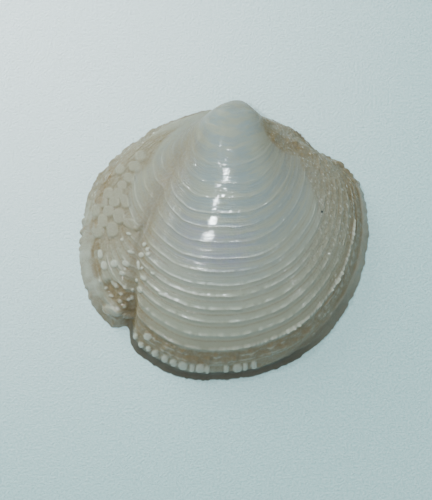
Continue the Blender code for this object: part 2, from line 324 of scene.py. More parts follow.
def whorl(stage):
    """How far a growth line reaches from the hinge axis, and how high it rises, as shares."""
    turn = UMBO_TURN * np.log(1.0 / stage)
    turn += (EDGE_TURN - UMBO_TURN) * (1.0 - stage**EDGE_SHARPNESS) / EDGE_SHARPNESS
    held = turn / (1.0 + np.abs(turn / TURN_LIMIT) ** 4) ** 0.25
    turn += BEAK_CURL * np.exp(-((stage / CURL_STAGE) ** 1.5))
    radius = stage / np.cos(held)
    return radius * np.cos(turn), radius * np.sin(turn)


def furrow(angle, centre, radius, width):
    """One in the middle of a furrow, fading to nothing beside it."""
    return np.exp(-(((angle - centre) * radius / width) ** 2))


def sulcus_angle(stage):
    power, sharpness = SULCUS_BEND
    return SULCUS_END + SULCUS_SWEEP * np.maximum(1.0 - stage**power, 0.0) ** sharpness


def lunule_angle(stage):
    return LUNULE_END + LUNULE_SWEEP * (1.0 - stage)


def polar(points):
    """Each point's direction from the apex, clockwise from +X, and its distance, seen from above."""
    arm = points - APEX
    return np.arctan2(-arm[..., 1], arm[..., 0]), np.linalg.norm(arm, axis=-1)


def surface(outline, apex, stage, notched):
    """Points of the smooth valve: one row for each row of stages, one column for each outline point."""
    arm = outline - apex
    angle = np.arctan2(-arm[:, 1], arm[:, 0])
    size = np.linalg.norm(arm, axis=1)
    shrink = np.ones_like(stage * size)
    if notched:
        bite = NOTCH_DEPTH * furrow(angle, sulcus_angle(stage), size, NOTCH_WIDTH)
        bite += DENT_DEPTH * furrow(angle, lunule_angle(stage), size, LUNULE_WIDTH)
        bite = bite * smooth_step(1.5, 4.0, size)
        shrink = 1.0 - smooth_step(0.7, 1.0, stage) * bite / size
    reach, rise = whorl(stage)
    drop = np.maximum(-arm[:, 1] * shrink, 0.0)
    tall = drop.max(axis=1, keepdims=True)
    broad = 1.0 + BEAK_BREADTH * np.exp(-((stage / BREADTH_STAGE) ** 2))
    x = apex[0] + stage * broad * arm[:, 0] * shrink
    x += BEAK_LEAN * stage / LEAN_STAGE * np.exp(1.0 - stage / LEAN_STAGE)
    y = apex[1] - reach * drop
    z = rise * tall * (drop / tall) ** SHOULDER
    z += BEAK_LIFT * np.exp(-((stage / LIFT_STAGE) ** 1.5))
    return np.stack([x, y, z], axis=-1)


def outward(outline, apex, stage):
    """Unit normals of the smooth valve."""
    step = 0.003
    ahead = surface(outline, apex, stage + step, False)
    behind = surface(outline, apex, stage - step, False)
    here = surface(outline, apex, stage, False)
    along = np.roll(here, -1, axis=1) - np.roll(here, 1, axis=1)
    normal = np.cross(along, ahead - behind)
    return normal / np.maximum(np.linalg.norm(normal, axis=-1), 1e-9)[..., None]


def row_stages():
    """Stages of the mesh rows of the outside: close together at each crest."""
    wanted = {*BEAK_ROWS, *MARGIN_ROWS}
    for crest in RIDGES:
        wanted.update(crest + offset for offset in CREST_ROWS)
    rows = [BEAK_ROWS[0]]
    for stage in sorted(wanted):
        gap = stage - rows[-1]
        if gap < LEAST_GAP:
            continue
        widest = WIDEST_GAP if stage > MIDDLE_END else 2.0 * WIDEST_GAP
        parts = math.ceil(gap / widest)
        rows += [rows[-1] + gap * part / parts for part in range(1, parts)]
        rows.append(stage)
    return np.array(rows)


def pillows(plan, places, power):
    """Rounded lumps at the given places, seen from above: one on their tops, nothing between them."""
    raised = np.zeros(plan.shape[:-1])
    for x, y, length, breadth, turn in places:
        swing = math.radians(turn)
        east = plan[..., 0] - x
        north = plan[..., 1] - y
        along = np.abs(east * math.cos(swing) + north * math.sin(swing)) / length
        across = np.abs(north * math.cos(swing) - east * math.sin(swing)) / breadth
        raised = np.maximum(raised, smooth_step(0.0, 0.6, 1.0 - along**power - across**power))
    return raised


def travel_along(outline):
    """Distance along the closed outline, up to the end of each of its steps."""
    return np.cumsum(np.linalg.norm(np.roll(outline, -1, axis=0) - outline, axis=1))


def below_hinge(outline):
    """How far each point lies below the hinge, as a share of the shell's height seen from above."""
    return (APEX[1] - outline[:, 1]) / SHELL_DROP


def margin_bumps(outline):
    """Steps in the plane that roughen the margin, more along the crusty front and rear slopes."""
    ahead = np.roll(outline, -1, axis=0) - np.roll(outline, 1, axis=0)
    away = np.stack([-ahead[:, 1], ahead[:, 0]], axis=1)
    away /= np.linalg.norm(away, axis=1)[:, None]
    travel = travel_along(outline)
    degrees = np.degrees(polar(outline)[0])
    crusty = np.maximum(falling(36.0, 48.0, degrees), smooth_step(122.0, 132.0, degrees))
    crusty = crusty * smooth_step(0.03, 0.10, below_hinge(outline))
    bump = 0.9 * cloud(travel / 0.50, 0.0, 41) + 0.7 * cloud(travel / 0.25, 0.0, 42)
    return away * (bump * (MARGIN_STEP + CRUSTY_STEP * crusty))[:, None]


class Outside:
    """Growth coordinates of the outside's mesh points, and the patterns that follow them.

    Ridges follow the rows. A row is the stage that its growth line has in the middle of the shell.
    """

    def __init__(self, outline):
        angle, size = polar(outline)
        self.travel = travel_along(outline)
        self.row = row_stages()[:, None]
        self.angle = np.broadcast_to(angle, (len(self.row), len(outline)))
        self.degrees = np.degrees(self.angle)
        self.stage = self.row + self.stray() + self.course()
        self.past_sulcus = self.degrees - np.degrees(sulcus_angle(self.stage))
        self.past_lunule = self.degrees - np.degrees(lunule_angle(self.stage))
        self.rear = smooth_step(0.5, 4.0, self.past_sulcus)
        self.hinge = smooth_step(0.03, 0.12, below_hinge(outline))
        self.radius = self.stage * size
        self.plan = surface(outline, APEX, self.stage, True)[..., :2] - MIDDLE[:2]
        self.sulcus = furrow(self.angle, sulcus_angle(self.stage), self.radius, SULCUS_WIDTH)
        self.lunule = furrow(self.angle, lunule_angle(self.stage), self.radius, LUNULE_WIDTH)
        self.grain = self.noise(GRAIN_SIZE, 12)
        self.coarse = self.noise(COARSE_SIZE, 13)
        self.seeds = np.clip(self.noise(SEED_SIZE, 15), 0.0, 1.0)
        self.soft = self.noise(SOFT_SIZE, 32)

    def stray(self):
        """Small departures of the growth lines from their even course."""
        wander = 0.0035 * cloud(self.row * 9.0, self.travel / 6.0, 3)
        wander += 0.0014 * cloud(self.row * 30.0, self.travel / 1.5, 4)
        return wander * window(0.08, 0.93, self.row, 0.04)

    def course(self):
        """How growth lines bulge in front of the sulcus, and reach further from the beak behind it."""
        bulge = BULGE * smooth_step(0.15, 0.42, self.row) * falling(0.58, 0.98, self.row)
        behind = np.maximum(self.degrees - np.degrees(sulcus_angle(self.row)), 0.0)
        tilt = REAR_TILT * REAR_REACH * np.tanh(behind / REAR_REACH)
        tilt = tilt * smooth_step(0.15, 0.45, self.row) * falling(0.50, 0.90, self.row)
        before_hinge = falling(148.0, 166.0, self.degrees)
        return before_hinge * (bulge * smooth_step(100.0, 121.0, self.degrees) + tilt)

    def noise(self, size, seed):
        """Smooth noise seen from above, from -1 to 1, with features of the given size in millimetres."""
        return cloud(self.plan[..., 0] / size, self.plan[..., 1] / size, seed)

    def bands(self):
        """The growth bands, each rising to a corded crest and stepping down: height, cord and groove."""
        number = np.searchsorted(RIDGES + FACE, self.row[:, 0]).clip(0, len(RIDGES) - 1)[:, None]
        end = RIDGES[number]
        start = np.where(number > 0, RIDGES[number - 1] + FACE, 0.0)
        back = np.clip((self.row - start) / (end - start), 0.0, 1.0)
        face = np.clip((self.row - end) / FACE, 0.0, 1.0)
        shingle = (1.0 - (1.0 - back) ** 1.8) * falling(0.0, 1.0, face)
        offset = self.row - end
        width = CORD * (0.55 + 0.50 * smooth_step(0.50, 0.85, end))
        cord = np.exp(-((offset / np.where(offset < 0.0, 1.3 * width, 0.8 * width)) ** 2))
        place = end * self.travel
        broken = cloud(number * 7.0, place / 0.42, 5) + 0.5 * cloud(number * 5.0, place / 0.2, 6)
        drift = cloud(number * 3.0, place / 3.5, 7)
        groove = np.exp(-(((self.row - start) / 0.009) ** 2)) * (number > 0)
        return shingle * (1.0 + 0.12 * drift), cord * (1.0 + 0.80 * broken + 0.45 * drift), groove

    def blocks(self):
        """Faint blocks of the rear area, in rows like a chequerboard."""
        rank = self.stage / BLOCK_ROW + 0.25 * cloud(self.travel / 1.4, 0.0, 8)
        nearest = np.round(rank)
        place = self.travel / BLOCK_PITCH + 0.5 * (nearest % 2) + 0.15 * cloud(nearest * 5.0, self.travel, 9)
        number = np.floor(place)
        side = np.abs(place - number - 0.5) / 0.42
        end = np.abs(rank - nearest) / 0.50
        block = smooth_step(0.0, 0.8, 1.0 - side**3 - end**3)
        return block * (0.45 + 0.65 * scatter(number, nearest, 10))

    def row_of_beads(self, stage, pitch, thickness, seed):
        """A row of beads along one growth line."""
        place = self.travel / pitch + 0.30 * cloud(self.travel / (2.2 * pitch), 0.0, seed)
        number = np.floor(place)
        side = 0.5 - np.abs(place - number - 0.5)
        across = np.exp(-(((self.stage - stage) / thickness) ** 4))
        return smooth_step(0.04, 0.30, side) * across * (0.45 + 0.65 * scatter(number, 1.0, seed + 1))


def areas_of(o):
    """Where on the outside each kind of sculpture lies, as shares from nothing to one."""
    degrees = o.degrees
    stage = o.stage
    area = {}

    # The crusty front slope, narrower towards the beak, and the half crusty area below it
    crust_edge = o.past_lunule - 5.0 - 48.0 * np.maximum(0.45 - stage, 0.0)
    area["crust"] = falling(-2.5, 2.5, crust_edge) * smooth_step(0.14, 0.26, stage)
    front_start = 0.46 + 0.20 * smooth_step(42.0, 58.0, degrees)
    front = falling(60.0, 74.0, degrees) * smooth_step(-0.03, 0.03, stage - front_start)
    area["front"] = front * (1.0 - area["crust"]) * falling(0.86, 0.91, stage)

    # The rear lobe: tiles, plain upper slope, crusty upper edge, smooth outer strip and brown pocket
    low_tiles = window(0.69, 0.925, stage, 0.025) * window(132.0, 152.0, degrees, 4.0)
    high_tiles = window(0.58, 0.88, stage, 0.03) * window(148.0, 163.0, degrees, 3.0)
    area["tiled"] = np.clip(o.rear * (low_tiles + high_tiles), 0.0, 1.0)
    area["upper"] = smooth_step(148.0, 158.0, degrees) * smooth_step(0.35, 0.55, stage)
    area["back"] = smooth_step(144.0, 152.0, degrees) * smooth_step(0.85, 0.90, stage)
    strip = smooth_step(124.5, 127.0, degrees) * falling(142.0, 148.0, degrees)
    area["strip"] = o.rear * strip * smooth_step(0.915, 0.935, stage)
    area["pocket"] = o.rear * pillows(o.plan, POCKET, 2.0)

    # The lower margin: brown band, rim, steep outer face with a ragged upper edge, and the notch's side
    under = (1.0 - o.rear) * smooth_step(60.0, 74.0, degrees)
    area["band"] = under * window(*BAND, stage, 0.008)
    area["rim"] = under * window(*RIM, stage, 0.004)
    ragged = stage + 0.003 * cloud(o.travel / 0.5, 0.0, 14)
    wall = smooth_step(62.0, 80.0, degrees) * falling(116.0, 119.0, degrees)
    wall = wall * smooth_step(0.970, 0.975, ragged)
    # A weaker share of the wall along the lower front edge: a shallower recess, less coat, and the wall's
    # painted shade
    low_wall = window(60.0, 80.0, degrees, 5.0) * smooth_step(0.952, 0.962, stage)
    area["wall"] = np.maximum(wall, 0.45 * low_wall)
    area["recess"] = window(118.0, 131.0, degrees, 2.0) * smooth_step(0.950, 0.958, stage)

    # The front margin: the brown strip with its nodules, and the pale flange outside it
    strip_start = 0.905 - 0.078 * falling(36.0, 50.0, degrees)
    right_strip = falling(64.0, 76.0, degrees) * smooth_step(-0.006, 0.006, stage - strip_start)
    area["right_strip"] = right_strip * falling(0.940, 0.958, stage)
    flange = falling(66.0, 84.0, degrees) * smooth_step(0.942, 0.956, stage)
    area["flange"] = flange * (1.0 - 0.7 * area["crust"])
    return area


def ridged_share(o, area):
    """How much of the ridges' height is left in the sulcus and in each area."""
    share = 1.0 - 0.75 * o.sulcus
    for name in ("tiled", "crust", "back", "strip", "pocket"):
        share = share * (1.0 - area[name])
    for name in ("right_strip", "flange", "rim", "band", "upper"):
        share = share * (1.0 - 0.85 * area[name])
    return share * (1.0 - 0.30 * o.rear) * (1.0 - 0.65 * area["front"])


def ridges_of(o, area):
    """Height of the ridges, and masks of their crests and of the grooves between them."""
    shingle, cord, groove = o.bands()
    share = ridged_share(o, area)
    low_front = falling(66.0, 96.0, o.degrees) * falling(0.58, 0.75, o.stage)
    height = np.interp(o.row, *zip(*RIDGE_HEIGHT)) * (1.0 - 0.5 * low_front)
    last = window(0.850, 0.890, o.row, 0.008) * falling(72.0, 95.0, o.degrees)
    flap = o.rear * window(0.45, 0.72, o.stage, 0.06) * falling(12.0, 18.0, o.past_sulcus)
    cord = cord * (1.0 + 0.6 * area["front"] * o.grain + 0.9 * last * (1.0 + o.grain) + 0.8 * flap)
    return height * share * (0.32 * shingle + 0.45 * cord), np.clip(cord * share, 0.0, 1.0), groove * share


def lumps_of(o, area):
    """Height of all separate lumps, how pale they are, and masks of the tiles and of tiles and blocks."""
    tiles = pillows(o.plan, TILES, 2.6)
    blocks = BLOCK_SHARE * o.blocks() * area["tiled"]
    tiled = np.maximum(tiles, blocks)
    height = TILE_HEIGHT * tiled
    pale = 0.05 * tiles + 0.03 * blocks
    for places, high, power, paleness in LUMPS:
        lump = pillows(o.plan, places, power)
        height += high * lump
        pale += paleness * lump
    patches = area["strip"] * (0.5 + 0.35 * o.soft + 0.25 * o.coarse)
    seeded = o.row_of_beads(SEED_STAGE, SEED_PITCH, SEED_THICKNESS, 28) * area["right_strip"]
    seeded += 1.5 * o.seeds * area["band"]
    chain = o.row_of_beads(CHAIN_STAGE, CHAIN_PITCH, CHAIN_THICKNESS, 45)
    chain = chain * falling(80.0, 104.0, o.degrees) * (1.0 - area["crust"])
    height += PATCH_HEIGHT * patches + SEED_HEIGHT * seeded + CHAIN_HEIGHT * chain
    pale = np.clip(pale, 0.0, 1.0) + 0.55 * patches + 0.35 * seeded * area["right_strip"] + 0.8 * chain
    return height, np.clip(pale, 0.0, 1.0), tiles, tiled


def texture_of(o, area):
    """Height of the crusty surfaces, of the sunken zones of the margin and of its rough edge."""
    bumpy = area["crust"] + 0.35 * area["front"] + 0.6 * area["back"] + 0.35 * area["upper"]
    crumbs = 0.13 * o.seeds + 0.04 * o.grain + 0.07 * o.coarse
    height = np.clip(bumpy, 0.0, 1.0) * crumbs * falling(0.985, 1.0, o.stage)
    height -= 0.06 * area["band"] + 0.07 * area["right_strip"] + 0.05 * area["rim"]
    height += o.coarse * (0.02 * area["right_strip"] + 0.07 * area["band"] + 0.03 * area["flange"])
    height += area["pocket"] * (0.10 * o.coarse + 0.12 * o.seeds - POCKET_DEPTH)
    height += WALL_DEPTH * area["wall"] * falling(0.985, 0.995, o.stage) * (0.4 * o.coarse - 1.0)
    edge = window(0.950, 0.995, o.stage, 0.006) * (1.0 - area["wall"]) * (1.0 - area["strip"])
    height += edge * (0.05 * o.coarse + 0.03 * o.grain + 0.06 * o.seeds)
    return height + 0.008 * o.grain * smooth_step(0.3, 0.8, o.stage)


def furrows_of(o):
    """Depth of the sulcus and of the lunule furrow. They end before the margin, which is notched there."""
    sulcus = SULCUS_DEPTH * smooth_step(0.20, 0.60, o.stage) * (1.0 - 0.4 * smooth_step(0.6, 0.8, o.stage))
    lunule = LUNULE_DEPTH * smooth_step(0.18, 0.45, o.stage)
    return (sulcus * o.sulcus + lunule * o.lunule) * falling(0.97, 1.0, o.stage)


def pale_edges_of(o, area):
    """Thin pale double edges in the brown band, broken here and there."""
    lines = 0.0
    for stage, halfwidth, strength in PALE_EDGES:
        lines = lines + strength * np.exp(-(((o.row - stage) / halfwidth) ** 2))
    return lines * area["band"] * smooth_step(-0.3, 0.5, o.coarse + 0.6 * o.grain)


def stain_and_shade_of(o, area, groove, tiled, pale):
    """How brown the outside is: stains, with painted shade on the umbo's flanks, between the tiles and in
    the recess under the rear lobe.
    """
    degrees = o.degrees
    stage = o.stage
    # The grooves, and a wide stain along the sulcus
    stain_and_shade = groove * (0.25 + 0.45 * smooth_step(0.50, 0.80, stage))
    wide = furrow(o.angle, sulcus_angle(stage), o.radius, 3.0 * SULCUS_WIDTH)
    stain_and_shade += (0.06 * o.sulcus + 0.36 * wide) * smooth_step(0.12, 0.30, stage)
    # The front slope, the beak, the rear slope and the lower part
    stain_and_shade += 0.30 * falling(38.0, 60.0, degrees) * smooth_step(0.06, 0.2, stage)
    # The umbo's front flank is browned: partly brown stain, partly painted shade of that flank
    stain_and_shade += 0.52 * falling(46.0, 78.0, degrees) * falling(0.25, 0.60, stage)
    stain_and_shade += 0.10 * falling(70.0, 95.0, degrees) * smooth_step(0.25, 0.45, stage)
    stain_and_shade += 0.50 * falling(0.03, 0.13, stage) + 0.08 * falling(0.20, 0.34, stage)
    stain_and_shade += 0.28 * smooth_step(95.0, 135.0, degrees) * smooth_step(0.2, 0.5, stage)
    # The umbo's rear slope is browned: partly brown stain, partly painted shade of that slope
    stain_and_shade += 0.16 * smooth_step(116.0, 130.0, degrees) * falling(0.30, 0.50, stage)
    stain_and_shade += 0.40 * (1.0 - o.rear) * smooth_step(0.84, 0.89, stage)
    # The front crust, and the rear lobe with its brown spots
    stain_and_shade += 0.44 * area["crust"] + 0.30 * area["front"]
    stain_and_shade += 0.48 * area["back"] * (1.0 - 0.5 * o.seeds)
    # Brown over the tiled area, darker between the tiles: partly brown shell, partly painted shade between
    # them
    stain_and_shade += area["tiled"] * (0.24 + 0.20 * (1.0 - tiled))
    stain_and_shade += 0.75 * area["pocket"] * (1.0 - 0.4 * o.seeds)
    stain_and_shade += area["strip"] * np.clip(0.34 - 0.45 * o.soft - 0.35 * o.coarse, 0.0, 0.8)
    spots = o.rear * window(0.885, 0.935, stage, 0.012) * window(131.0, 148.0, degrees, 2.0)
    high_spots = smooth_step(138.0, 144.0, degrees) * falling(152.0, 158.0, degrees)
    spots += high_spots * window(0.88, 0.97, stage, 0.03)
    stain_and_shade += 0.9 * spots * smooth_step(-0.1, 0.4, o.coarse)
    # The zones of the margin
    # The recess under the rear lobe's lip is stained brown: partly brown shell, partly painted shade of its
    # shadowed face
    stain_and_shade += 0.9 * area["flange"] * window(44.0, 78.0, degrees, 8.0) + 0.75 * area["recess"]
    stain_and_shade += area["band"] * (0.56 - 0.15 * o.coarse) + area["right_strip"] * (0.75 - 0.15 * o.coarse)
    stain_and_shade += area["rim"] * (0.40 + 0.45 * falling(84.0, 98.0, degrees))
    return np.clip(stain_and_shade * (1.0 - 0.85 * pale) * (1.0 - 0.6 * area["flange"]), 0.0, 1.0)


def roughness_of(o, area, tiles):
    """Where the outside is crusty, or covered in small glassy beads."""
    crusty = np.clip(area["crust"] + 0.8 * area["front"] + area["back"], 0.0, 1.0)
    glassy = 0.6 * area["band"] + 0.6 * area["right_strip"] + 0.5 * area["rim"]
    glassy += 0.5 * area["flange"] * smooth_step(40.0, 55.0, o.degrees) + 0.35 * area["strip"]
    glassy += 0.3 * area["tiled"] * (1.0 - tiles) + 0.5 * area["pocket"]
    return np.clip(crusty + glassy, 0.0, 1.0)


def relief_of(o):
    """Height of the sculpture over the smooth valve, with masks for the material."""
    area = areas_of(o)
    height, crest, groove = ridges_of(o, area)
    raised, pale, tiles, tiled = lumps_of(o, area)
    height = height + raised + texture_of(o, area) - furrows_of(o)
    height *= o.hinge * smooth_step(0.05, 0.12, o.stage)
    pale = np.clip(pale + 0.45 * pale_edges_of(o, area), 0.0, 1.0)
    masks = {
        "stain_and_shade": stain_and_shade_of(o, area, groove, tiled, pale),
        "pale": pale,
        "crest": crest,
        "rough": roughness_of(o, area, tiles),
        "wall": area["wall"],
        "flange": area["flange"],
        "lilac": window(0.44, 0.60, o.stage, 0.05) * window(86.0, 117.0, o.degrees, 8.0),
        "rear": o.rear * window(0.3, 0.68, o.stage, 0.10),
        "stage": o.stage,
        "row": np.broadcast_to(o.row, o.angle.shape),
        "angle": o.angle,
    }
    return height, masks


def join_rows(faces, low, low_count, high, high_count):
    """Faces between two closed rows of points, where the second may have twice as many."""
    for i in range(low_count):
        j = (i + 1) % low_count
        if high_count == low_count:
            faces.append((low + i, low + j, high + j, high + i))
            continue
        first = 2 * i
        last = (2 * i + 2) % high_count
        faces.append((low + i, high + first + 1, high + first))
        faces.append((low + i, low + j, high + first + 1))
        faces.append((low + j, high + last, high + first + 1))


def skip_for(stage):
    """How many columns a row moves on by from one point to its next."""
    if stage < COARSE_END:
        return 4
    return 2 if stage < MIDDLE_END else 1


def stitched(counts):
    """Faces between closed rows of so many points each, with a point before the first and after the last."""
    starts = [1]
    for count in counts:
        starts.append(starts[-1] + count)
    end = starts.pop()
    faces = [(0, 1 + (i + 1) % counts[0], 1 + i) for i in range(counts[0])]
    for low, low_count, high, high_count in zip(starts, counts, starts[1:], counts[1:]):
        if high_count >= low_count:
            join_rows(faces, low, low_count, high, high_count)
        else:
            first = len(faces)
            join_rows(faces, high, high_count, low, low_count)
            faces[first:] = [face[::-1] for face in faces[first:]]
    last = starts[-1]
    faces += [(end, last + i, last + (i + 1) % counts[-1]) for i in range(counts[-1])]
    return faces


def inner_outline(outline):
    """Edge of the hollow, inside the margin. Its direction is taken over a long chord, so it never folds."""
    ahead = np.roll(outline, -CHORD, axis=0) - np.roll(outline, CHORD, axis=0)
    inward = np.stack([ahead[:, 1], -ahead[:, 0]], axis=1)
    inward /= np.linalg.norm(inward, axis=1)[:, None]
    near_hinge = falling(0.10, 0.32, below_hinge(outline))
    width = RIM_WIDTH + (HINGE_PLATE - RIM_WIDTH) * near_hinge
    angle, size = polar(outline)
    width += NOTCH_DEPTH * furrow(angle, SULCUS_END, size, DENT_WIDTH) * (1.0 - near_hinge)
    return outline + inward * width[:, None]


def underside(rim, inner):
    """Rows across the flat margin and the hinge plate, from the outer edge to the hollow."""
    rows = []
    for share in UNDERSIDE_ROWS:
        row = np.zeros_like(rim)
        row[:, :2] = rim[:, :2] + share * (inner - rim[:, :2])
        row[:, 2] = RIM_LIFT * (abs(2.0 * share - 1.0) ** 8)
        for centre, half, turn in SOCKETS:
            x = row[:, 0] - centre[0]
            y = row[:, 1] - centre[1]
            across = (x * math.cos(turn) + y * math.sin(turn)) / half[0]
            along = (y * math.cos(turn) - x * math.sin(turn)) / half[1]
            row[:, 2] += half[2] * np.sqrt(np.clip(1.0 - across**2 - along**2, 0.0, 1.0))
        rows.append(row)
    return rows


def hollow(outline, inner):
    """Rows of the smooth hollow from its edge inwards, thinned out on the way, and its last row in full."""
    apex = np.array((APEX[0] - CAVITY_OFFSET[0], inner[:, 1].max() + CAVITY_OFFSET[1]))
    stages = np.concatenate(HOLLOW_ROWS)[:, None]
    lines = surface(inner, apex, stages, False)
    angle, size = polar(outline)
    order = np.argsort(angle)
    around, radius = polar(lines[..., :2])
    near = np.minimum(radius / np.interp(around, angle[order], size[order]), 1.0)
    dent = smooth_step(0.20, 0.80, near) * furrow(around, sulcus_angle(near), radius, DENT_WIDTH)
    lines[..., 2] -= np.minimum(INNER_DENT * dent, 0.5 * lines[..., 2])
    return [line[:: max(2, skip_for(stage))] for line, stage in zip(lines, stages[:, 0])], lines[-1]


def outside_rows(outline, bumps):
    """Rows of the sculptured outside from the beak to the margin, and the same rows of each mask."""
    o = Outside(outline)
    height, masks = relief_of(o)
    points = surface(outline, APEX, o.stage, True)
    points += outward(outline, APEX, o.stage) * height[..., None]
    points[..., :2] += smooth_step(*MARGIN_FADE, o.stage)[..., None] * bumps
    points[..., 2] = np.maximum(points[..., 2], OUTSIDE_LIFT)
    skips = [skip_for(stage) for stage in o.row[:, 0]]
    rows = [line[::skip] for line, skip in zip(points, skips)]
    values = {
        name: np.concatenate([line[::skip] for line, skip in zip(mask, skips)])
        for name, mask in masks.items()
    }
    return rows, values, points[0].mean(axis=0)


def valve_mesh():
    """The whole valve as one closed mesh with its masks as point attributes."""
    outline = margin()
    bumps = margin_bumps(outline)
    outside, values, beak = outside_rows(outline, bumps)
    rim = surface(outline, APEX, np.array([[1.0]]), True)[0]
    rim[:, :2] += bumps
    rim[:, 2] = RIM_LIFT
    inner = inner_outline(outline)
    cavity, deepest = hollow(outline, inner)
    rows = outside + [rim] + underside(rim, inner) + cavity

    mesh = bpy.data.meshes.new("clam_valve")
    coords = np.concatenate([beak[None]] + rows + [deepest.mean(axis=0)[None]])
    mesh.from_pydata(((coords - MIDDLE) * MM).tolist(), [], stitched([len(row) for row in rows]))
    mesh.validate()
    end = 1 + sum(len(row) for row in outside)
    masks = {name: np.zeros(len(coords), dtype=np.float32) for name in [*values, "inside"]}
    for name, value in values.items():
        masks[name][1:end] = value
    masks["inside"][end:] = 1.0
    for name, mask in masks.items():
        mesh.attributes.new(name, "FLOAT", "POINT").data.foreach_set("value", mask)
    mesh.shade_smooth()
    return mesh


class Graph:
    """Short calls for the nodes of one material. Its places are in millimetres."""

    def __init__(self, name):
        self.material = bpy.data.materials.new(name)
        self.material.use_nodes = True
        self.tree = self.material.node_tree
        self.shader = self.tree.nodes["Principled BSDF"]
        coordinates = self.tree.nodes.new("ShaderNodeTexCoord")
        mapping = self.tree.nodes.new("ShaderNodeMapping")
        mapping.inputs["Scale"].default_value = (1.0 / MM, 1.0 / MM, 1.0 / MM)
        self.link(coordinates.outputs["Object"], mapping.inputs["Vector"])
        self.place = mapping.outputs["Vector"]

    def link(self, source, socket):
        self.tree.links.new(source, socket)

    def feed(self, value, socket):
        if isinstance(value, bpy.types.NodeSocket):
            self.link(value, socket)
        else:
            socket.default_value = value

    def put(self, name, value):
        """A number, or the result of a node, on one of the shader's sockets."""
        self.feed(value, self.shader.inputs[name])

    def read(self, name):
        """One of the mesh's masks."""
        node = self.tree.nodes.new("ShaderNodeAttribute")
        node.attribute_name = name
        return node.outputs["Fac"]

    def math(self, operation, *values, clamp=False):
        node = self.tree.nodes.new("ShaderNodeMath")
        node.operation = operation
        node.use_clamp = clamp
        for value, socket in zip(values, node.inputs):
            self.feed(value, socket)
        return node.outputs["Value"]

    def noise(self, scale, detail=2.0, roughness=0.5, place=None):
        node = self.tree.nodes.new("ShaderNodeTexNoise")
        node.inputs["Scale"].default_value = scale
        node.inputs["Detail"].default_value = detail
        node.inputs["Roughness"].default_value = roughness
        self.link(place or self.place, node.inputs["Vector"])
        return node.outputs["Fac"]

    def cells(self, scale, place=None):
        """Distance from the middle of the nearest of many scattered grains."""
        node = self.tree.nodes.new("ShaderNodeTexVoronoi")
        node.inputs["Scale"].default_value = scale
        self.link(place or self.place, node.inputs["Vector"])
        return node.outputs["Distance"]

    def span(self, value, low, high, to_low=0.0, to_high=1.0):
        """The value's smooth step between low and high, as a number from to_low to to_high."""
        node = self.tree.nodes.new("ShaderNodeMapRange")
        node.interpolation_type = "SMOOTHSTEP"
        self.feed(value, node.inputs["Value"])
        node.inputs["From Min"].default_value = low
        node.inputs["From Max"].default_value = high
        node.inputs["To Min"].default_value = to_low
        node.inputs["To Max"].default_value = to_high
        return node.outputs["Result"]

    def growth(self, across, around):
        """A place that follows the growth lines, in so many units a row and a radian."""
        node = self.tree.nodes.new("ShaderNodeCombineXYZ")
        self.link(self.math("MULTIPLY", self.read("row"), across), node.inputs["X"])
        self.link(self.math("MULTIPLY", self.read("angle"), around), node.inputs["Y"])
        return node.outputs["Vector"]

    def from_plan(self, x, y):
        """Distance from a place seen from above."""
        split = self.tree.nodes.new("ShaderNodeSeparateXYZ")
        self.link(self.place, split.inputs["Vector"])
        east = self.math("SUBTRACT", split.outputs["X"], x)
        north = self.math("SUBTRACT", split.outputs["Y"], y)
        squared = self.math("ADD", self.math("MULTIPLY", east, east), self.math("MULTIPLY", north, north))
        return self.math("SQRT", squared)

    def colour(self, share, first, second):
        """The first colour, with the second over it by its share."""
        node = self.tree.nodes.new("ShaderNodeMix")
        node.data_type = "RGBA"
        self.feed(share, node.inputs[0])
        self.feed(first, node.inputs[6])
        self.feed(second, node.inputs[7])
        return node.outputs[2]

    def bump(self, height, distance, strength=1.0, normal=None):
        node = self.tree.nodes.new("ShaderNodeBump")
        node.inputs["Distance"].default_value = distance
        self.feed(strength, node.inputs["Strength"])
        self.feed(height, node.inputs["Height"])
        if normal is not None:
            self.link(normal, node.inputs["Normal"])
        return node.outputs["Normal"]


def rgb(red, green, blue):
    return (red, green, blue, 1.0)


# Colours of the shell
PEARL = rgb(0.182, 0.226, 0.226)
LILAC = rgb(0.202, 0.208, 0.250)
OLIVE = rgb(0.258, 0.268, 0.202)
BROWN = rgb(0.140, 0.096, 0.038)
PALE = rgb(0.370, 0.372, 0.312)
FLANGE = rgb(0.290, 0.255, 0.202)
# Dark brown of the lower margin's steep outer face: its brown stain, made darker as painted shade of that
# face
WALL_BROWN_AND_SHADE = rgb(0.085, 0.073, 0.053)
INSIDE = rgb(0.55, 0.56, 0.51)
# One dark speck on the front, and its place in millimetres
SPECK = rgb(0.01, 0.01, 0.01)
SPECK_PLACE = (10.18, 3.0)
# Colours of the table: a painted pool of light, palest near one corner of the view and darker away from it,
# and its pale grain
TABLE_POOL_LIT = rgb(0.90, 1.0, 1.0)
TABLE_POOL_DIM = rgb(0.32, 0.55, 0.55)
TABLE_GRAIN = rgb(0.95, 1.0, 1.0)
LIGHT_POOL_CORNER = (-24.0, 26.0)
# Depths in metres of the bumps of the shell, of its wet coat and of the table
THREAD_BUMP = 0.00008
CRUMB_BUMP = 0.00007
WET_THREAD_BUMP = 0.00003
WET_GRAIN_BUMP = 0.000012
WET_CREST_BUMP = 0.00009
WET_DOT_BUMP = 0.00005
WET_CRUMB_BUMP = 0.00014
TABLE_BUMP = 0.00020


